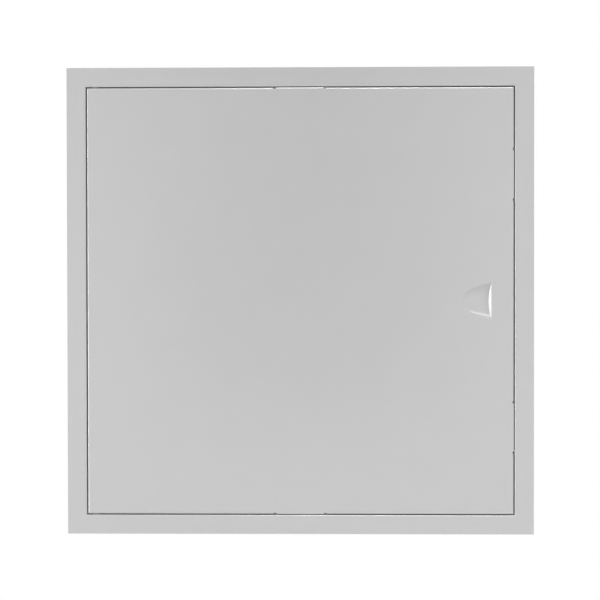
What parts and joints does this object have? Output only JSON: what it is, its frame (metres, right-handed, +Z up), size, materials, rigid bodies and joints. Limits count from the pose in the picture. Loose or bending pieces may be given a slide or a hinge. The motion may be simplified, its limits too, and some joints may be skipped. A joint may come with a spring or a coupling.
{
  "type": "access panel",
  "caption": "Flush square access panel: folded steel door with a pressed finger pull, pin-hinged in a mitred picture frame and held shut by magnetic catches.",
  "frame": {"origin": "middle of the opening, on the plane where the frame's flange meets the ceiling or wall surface", "axes": "+X from the hinge side to the latch side, +Y from the face into the ceiling or wall, +Z up the face as pictured"},
  "size_m": [0.44, 0.0284, 0.44],
  "materials": {
    "coated_steel": "satin powder coat",
    "zinc_plate": "bright zinc",
    "rivet_alloy": "plain",
    "bush_nylon": "grey nylon",
    "catch_plastic": "moulded",
    "ferrite": "ground ferrite",
    "pole_steel": "nickel plate",
    "pin_steel": "turned, zinc plate",
    "spring_steel": "phosphated"
  },
  "bodies": {
    "frame": {"frame_top_rail": "coated_steel", "frame_bottom_rail": "coated_steel", "frame_hinge_stile": "coated_steel", "frame_latch_stile": "coated_steel", "corner_cleat_top_left": "zinc_plate", "corner_cleat_top_right": "zinc_plate", "corner_cleat_bottom_left": "zinc_plate", "corner_cleat_bottom_right": "zinc_plate", "corner_rivets": "rivet_alloy", "catch_housing_top": "catch_plastic", "catch_magnet_top": "ferrite", "catch_poles_top": "pole_steel", "catch_housing_bottom": "catch_plastic", "catch_magnet_bottom": "ferrite", "catch_poles_bottom": "pole_steel", "catch_housing_latch_upper": "catch_plastic", "catch_magnet_latch_upper": "ferrite", "catch_poles_latch_upper": "pole_steel", "catch_housing_latch_lower": "catch_plastic", "catch_magnet_latch_lower": "ferrite", "catch_poles_latch_lower": "pole_steel", "catch_screws": "zinc_plate", "hinge_bush_upper": "bush_nylon", "hinge_bush_lower": "bush_nylon"},
    "door": {"door_leaf": "coated_steel", "hinge_plate_upper": "zinc_plate", "hinge_plate_lower": "zinc_plate", "hinge_pin_upper": "pin_steel", "hinge_pin_lower": "pin_steel", "pin_retainer_upper": "spring_steel", "pin_retainer_lower": "spring_steel"}
  },
  "joints": [
    {"name": "door_swing", "type": "hinge", "parent": "frame", "child": "door", "pos_m": [-0.193, 0.0037, 0], "axis": [0, 0, -1], "range_deg": [0, 110]}
  ]
}
